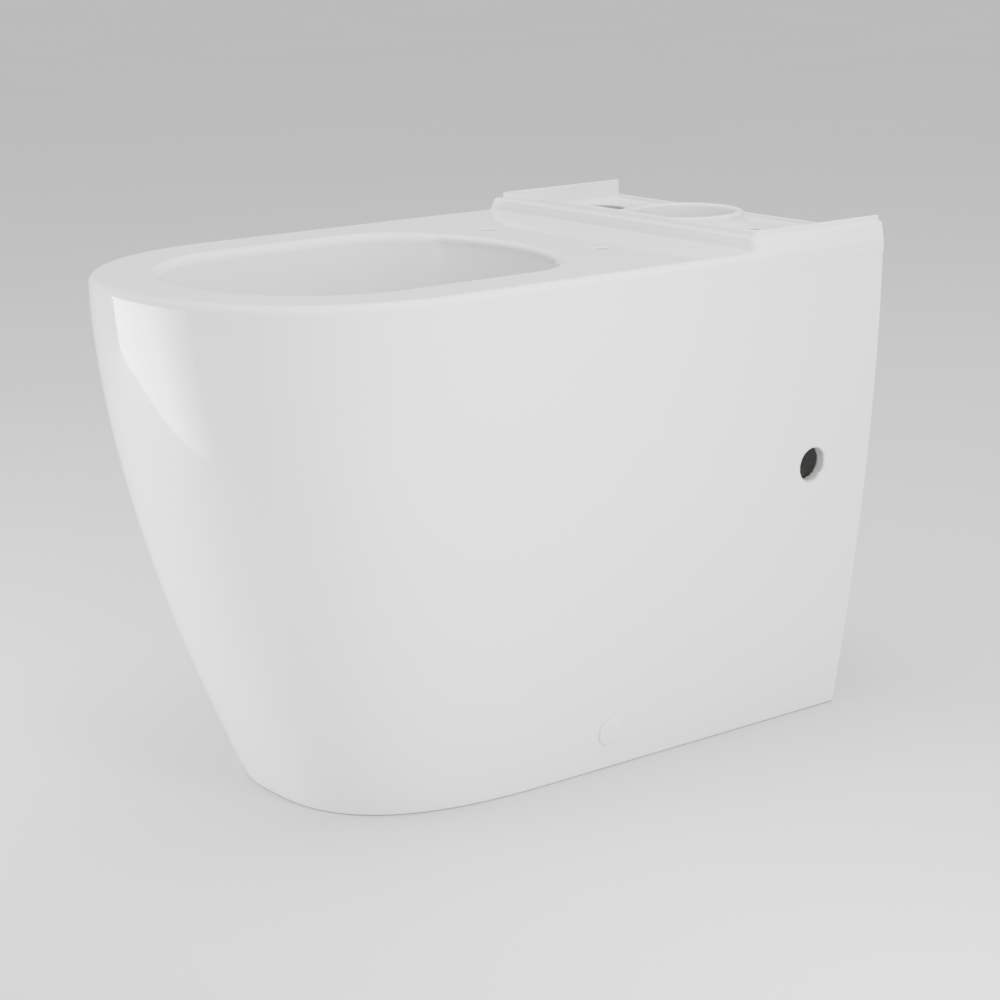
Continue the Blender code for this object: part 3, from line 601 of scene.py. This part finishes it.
def make_pan():
    lines = grid_lines()
    points, faces = draw_surface(lines, sample(lines))
    points = settle(points, 3, GRID_STEP * 0.5)
    mesh = bpy.data.meshes.new("pan_surface")
    mesh.from_pydata(to_metres(points), [], faces)
    pan = bpy.data.objects.new("pan_glazed", mesh)
    bpy.context.collection.objects.link(pan)
    thin(pan, MOST_TRIANGLES)
    settled = settle(mesh_points(pan.data), 3, 0.6)
    pan.data.vertices.foreach_set("co", to_metres(settled).ravel())
    pan.data.update()
    pan.data.shade_smooth()
    pan.data.normals_split_custom_set(corner_normals(pan.data, settled))
    # Mask of bare clay, which the material paints dark as painted shade in the holes and the
    # hollow
    raw = pan.data.attributes.new("unglazed_and_shaded", "FLOAT", "POINT")
    raw.data.foreach_set("value", unglazed_and_shaded(settled))
    pan.data.materials.append(glazed_china())
    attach(pan, "pan_body")
    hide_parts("pan")


# ---------------------------------------------------------------- small pieces

def turned(name, node, profile, place, look, steps=96):
    """A ring turned from a closed profile of (along, radius) in millimetres."""
    builder = bmesh.new()
    rings = []
    for step in range(steps):
        turn = 2 * math.pi * step / steps
        ring = []
        for along, radius in profile:
            spot = Vector((radius * math.cos(turn), radius * math.sin(turn), along))
            ring.append(builder.verts.new(spot * MM))
        rings.append(ring)
    for step, ring in enumerate(rings):
        following = rings[(step + 1) % steps]
        for index, corner in enumerate(ring):
            onward = (index + 1) % len(ring)
            builder.faces.new((corner, ring[onward], following[onward], following[index]))
    bmesh.ops.recalc_face_normals(builder, faces=builder.faces)
    mesh = bpy.data.meshes.new(name)
    builder.to_mesh(mesh)
    builder.free()
    piece = bpy.data.objects.new(name, mesh)
    piece.matrix_world = place
    bpy.context.collection.objects.link(piece)
    mesh.materials.append(look)
    mesh.shade_smooth()
    mesh.set_sharp_from_angle(angle=math.radians(SHARP_ANGLE))
    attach(piece, body_of(node))
    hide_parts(node)


def body_of(node):
    """The body that carries a CAD node."""
    bodies = frame["record"]["behaviour"]["bodies"]
    return next(body for body, nodes in bodies.items() if node in nodes)


# ---------------------------------------------------------------- materials

class Nodes:
    """Short names for building one material's node tree."""

    def __init__(self, name):
        self.material = bpy.data.materials.new(name)
        self.material.use_nodes = True
        self.tree = self.material.node_tree
        self.shader = self.tree.nodes["Principled BSDF"]

    def add(self, kind, settings=(), **inputs):
        node = self.tree.nodes.new(kind)
        for key, value in dict(settings).items():
            setattr(node, key, value)
        for key, value in inputs.items():
            self.feed(node.inputs[key.replace("_", " ")], value)
        return node

    def feed(self, socket, value):
        if isinstance(value, bpy.types.NodeSocket):
            self.tree.links.new(value, socket)
        else:
            socket.default_value = value

    def noise(self, scale, detail=3.0):
        node = self.add("ShaderNodeTexNoise", Scale=scale, Detail=detail)
        place = self.tree.nodes.new("ShaderNodeTexCoord").outputs["Object"]
        self.feed(node.inputs["Vector"], place)
        return node.outputs["Fac"]

    def mottle(self, scale, detail, first, second):
        """A colour that drifts between two, in patches."""
        return self.mix(self.spread(self.noise(scale, detail), 0, 1), colour(*first),
                        colour(*second))

    def spread(self, value, low, high):
        """Stretch a 0-1 value between low and high."""
        node = self.add("ShaderNodeMapRange")
        self.feed(node.inputs["Value"], value)
        node.inputs["From Min"].default_value = 0.3
        node.inputs["From Max"].default_value = 0.7
        node.inputs["To Min"].default_value = low
        node.inputs["To Max"].default_value = high
        return node.outputs["Result"]

    def mix(self, part, first, second):
        node = self.tree.nodes.new("ShaderNodeMix")
        node.data_type = "RGBA"
        self.feed(node.inputs["Factor"], part)
        self.feed(node.inputs["A"], first)
        self.feed(node.inputs["B"], second)
        return node.outputs["Result"]

    def blend(self, part, first, second):
        node = self.tree.nodes.new("ShaderNodeMix")
        self.feed(node.inputs["Factor"], part)
        self.feed(node.inputs["A"], first)
        self.feed(node.inputs["B"], second)
        return node.outputs["Result"]

    def bump(self, height, strength, distance):
        node = self.add("ShaderNodeBump", Strength=strength, Distance=distance)
        self.feed(node.inputs["Height"], height)
        return node.outputs["Normal"]

    def finish(self, **inputs):
        for key, value in inputs.items():
            self.feed(self.shader.inputs[key.replace("_", " ")], value)
        return self.material


def colour(red, green, blue):
    return (red, green, blue, 1.0)


def glazed_china():
    """White glaze with a faint waviness, over bare fired clay where the glaze stops; the clay
    is painted dark grey, as painted shade in the holes and the hollow inside.
    """
    n = Nodes("glazed_china")
    bare_and_shaded = n.add("ShaderNodeAttribute", {"attribute_name": "unglazed_and_shaded"}).outputs["Fac"]
    tint = n.mottle(3.0, 3, (0.80, 0.80, 0.802), (0.825, 0.825, 0.825))
    # Bare clay, painted dark grey: painted shade for the holes and the hollow inside, as well
    # as the clay's own tone
    dark_clay_shade = n.mottle(60.0, 5, (0.36, 0.352, 0.34), (0.44, 0.432, 0.42))
    shine = n.spread(n.noise(14.0, 4), 0.045, 0.085)
    grain = n.noise(900.0, 2)
    wave = n.noise(22.0, 1)
    height = n.blend(bare_and_shaded, wave, grain)
    return n.finish(
        Base_Color=n.mix(bare_and_shaded, tint, dark_clay_shade),
        Roughness=n.blend(bare_and_shaded, shine, 0.7),
        Normal=n.bump(height, 0.25, 0.0002),
        IOR=1.54,
        Coat_Weight=0.35,
        Coat_Roughness=0.03,
    )


def moulded_plastic(name, shade, roughness):
    n = Nodes(name)
    tint = n.mottle(8.0, 3, [0.97 * part for part in shade], shade)
    return n.finish(
        Base_Color=tint,
        Roughness=n.spread(n.noise(120.0, 4), roughness - 0.04, roughness + 0.05),
        Normal=n.bump(n.noise(700.0, 3), 0.12, 0.0001),
        IOR=1.48,
    )


def metal(name, shade, roughness):
    n = Nodes(name)
    tint = n.mottle(60.0, 5, [0.88 * part for part in shade], shade)
    return n.finish(
        Base_Color=tint,
        Metallic=1.0,
        Roughness=n.spread(n.noise(300.0, 5), roughness - 0.08, roughness + 0.1),
        Normal=n.bump(n.noise(1200.0, 3), 0.15, 0.00005),
    )


def soft_rubber(name):
    n = Nodes(name)
    tint = n.mottle(40.0, 4, (0.018, 0.018, 0.019), (0.035, 0.034, 0.033))
    return n.finish(
        Base_Color=tint,
        Roughness=n.spread(n.noise(90.0, 4), 0.55, 0.75),
        Normal=n.bump(n.noise(900.0, 3), 0.2, 0.0001),
    )


# ---------------------------------------------------------------- stage, light and camera

FLOOR_REACH, FLOOR_HEIGHT = 40.0, -0.0002


def make_floor():
    builder = bmesh.new()
    corners = [builder.verts.new((x * FLOOR_REACH, y * FLOOR_REACH, FLOOR_HEIGHT))
               for x, y in ((-1, -1), (1, -1), (1, 1), (-1, 1))]
    builder.faces.new(corners)
    mesh = bpy.data.meshes.new("floor")
    builder.to_mesh(mesh)
    builder.free()
    floor = bpy.data.objects.new("floor", mesh)
    bpy.context.collection.objects.link(floor)
    n = Nodes("floor_paint")
    tint = n.mottle(1.5, 3, (0.585, 0.583, 0.584), (0.605, 0.603, 0.604))
    mesh.materials.append(n.finish(Base_Color=tint, Roughness=0.7))


# Lights: place, aim, size and radiance. The left panel is even up to LEFT_END, and fades from
# there in strips.
KEY = ((0.95, -0.12, 0.52), (0.15, -0.03, 0.26), (0.35, 0.35), 30.0)
TOP = ((0.3, 0.1, 3.0), (0.0, 0.0, 0.3), (2.0, 2.0), 9.0)
LEFT_START, LEFT_END, LEFT_FADE, LEFT_STEPS = -1.3, -0.40, 0.30, 6
LEFT_Y, LEFT_HEIGHT, LEFT_RADIANCE = -0.83, 0.42, 18.0
SKY_GREY, SKY_STRENGTH = 0.80, 1.50


def softbox(name, place, aim, size, radiance, mirrored=True):
    """A rectangular light of this size in metres; mirrored lights show in the glaze."""
    data = bpy.data.lights.new(name, "AREA")
    data.shape = "RECTANGLE"
    data.size, data.size_y = size
    data.energy = radiance * math.pi * size[0] * size[1]
    light = bpy.data.objects.new(name, data)
    light.location = place
    light.rotation_mode = "QUATERNION"
    light.rotation_quaternion = (Vector(aim) - Vector(place)).to_track_quat("-Z", "Y")
    light.visible_camera = False
    light.visible_glossy = mirrored
    bpy.context.collection.objects.link(light)


def make_lights():
    world = bpy.data.worlds.new("studio")
    world.use_nodes = True
    back = world.node_tree.nodes["Background"]
    back.inputs["Color"].default_value = colour(SKY_GREY, SKY_GREY, SKY_GREY)
    back.inputs["Strength"].default_value = SKY_STRENGTH
    bpy.context.scene.world = world
    softbox("right", *KEY, mirrored=False)
    softbox("top", *TOP, mirrored=False)
    for step in range(LEFT_STEPS + 1):
        start = LEFT_START if step == 0 else LEFT_END + LEFT_FADE * (step - 1) / LEFT_STEPS
        end = LEFT_END + LEFT_FADE * step / LEFT_STEPS
        middle = ((start + end) / 2, LEFT_Y, LEFT_HEIGHT / 2)
        facing = (middle[0], 0.0, middle[2])
        radiance = LEFT_RADIANCE * (1 - step / (LEFT_STEPS + 1))
        softbox("left_%d" % step, middle, facing, (end - start, LEFT_HEIGHT), radiance)


# Camera: azimuth from the front, elevation and roll in degrees, and place in metres
CAMERA_ANGLES = (52.08, 14.34, -0.72)
CAMERA_X, CAMERA_FROM_WALL, CAMERA_HEIGHT = 1.6926, 1.6081, 0.7658
SENSOR_WIDTH, LENS = 36.0, 89.63


def make_camera():
    azimuth, elevation, roll = (math.radians(angle) for angle in CAMERA_ANGLES)
    data = bpy.data.cameras.new("camera")
    data.sensor_width = SENSOR_WIDTH
    data.lens = LENS
    camera = bpy.data.objects.new("camera", data)
    back = Vector((math.sin(azimuth) * math.cos(elevation),
                   -math.cos(azimuth) * math.cos(elevation), math.sin(elevation)))
    camera.location = (CAMERA_X, WALL_Y - CAMERA_FROM_WALL, CAMERA_HEIGHT)
    camera.rotation_mode = "QUATERNION"
    camera.rotation_quaternion = (-back).to_track_quat("-Z", "Y") @ Quaternion((0, 0, 1), roll)
    bpy.context.collection.objects.link(camera)
    bpy.context.scene.camera = camera


def cap_profile():
    """Half section of a cover: stem, rolled edge and low crown, as (along, radius)."""
    rim, top = CLEARANCE, CLEARANCE + CAP_RISE
    outer, inner = CAP_STEM_RADIUS, CAP_STEM_RADIUS - CAP_STEM_WALL
    roof = CLEARANCE + CAP_ROOF
    profile = [
        (roof, AXIS_GAP), (roof, inner - 0.4), (roof - 0.4, inner),
        (-CAP_STEM_LENGTH, inner), (-CAP_STEM_LENGTH, outer - 0.3),
        (0.3 - CAP_STEM_LENGTH, outer), (rim - 0.2, outer),
        (rim, outer + 0.2), (rim, CAP_RADIUS - 0.3), (rim + 0.15, CAP_RADIUS - 0.05),
    ]
    for step in range(EDGE_STEPS + 1):
        turn = math.radians(90 * step / EDGE_STEPS)
        radius = CAP_RADIUS - CAP_EDGE * (1 - math.cos(turn))
        profile.append((rim + 0.5 + (CAP_RISE - 0.9) * math.sin(turn), radius))
    crown = CAP_RADIUS - CAP_EDGE
    for step in range(1, CROWN_STEPS + 1):
        radius = crown * (1 - step / CROWN_STEPS) + AXIS_GAP
        profile.append((top + CAP_CROWN_RISE - 0.58 * (radius / crown) ** 2, radius))
    return profile


def make_caps():
    """Thin round covers with a softened edge and a ring stem, glossy like the china."""
    look = moulded_plastic("cap_gloss", (0.815, 0.815, 0.815), 0.12)
    for side, word in ((-1, "left"), (1, "right")):
        node = "fixing_cap_" + word
        turned(node + "_cover", node, cap_profile(), fixing_frame(side), look)


def dress_cad_nodes():
    white = moulded_plastic("white_plastic_look", (0.80, 0.80, 0.80), 0.25)
    looks = {
        "white_plastic": white,
        "natural_nylon": moulded_plastic("nylon_look", (0.70, 0.69, 0.64), 0.42),
        "stainless_steel": metal("stainless_look", (0.66, 0.65, 0.64), 0.28),
        "zinc_plated_steel": metal("zinc_look", (0.66, 0.67, 0.70), 0.36),
        "black_rubber": soft_rubber("rubber_look"),
        "vitreous_china": white,
    }
    for part in frame["record"]["subparts"]:
        node = frame["nodes"][part["node"]]
        look = looks[part["material_slot"]]
        if not node.material_slots:
            node.data.materials.append(look)
        for slot in node.material_slots:
            slot.material = look


dress_cad_nodes()
make_pan()
make_caps()
make_floor()
make_lights()
make_camera()
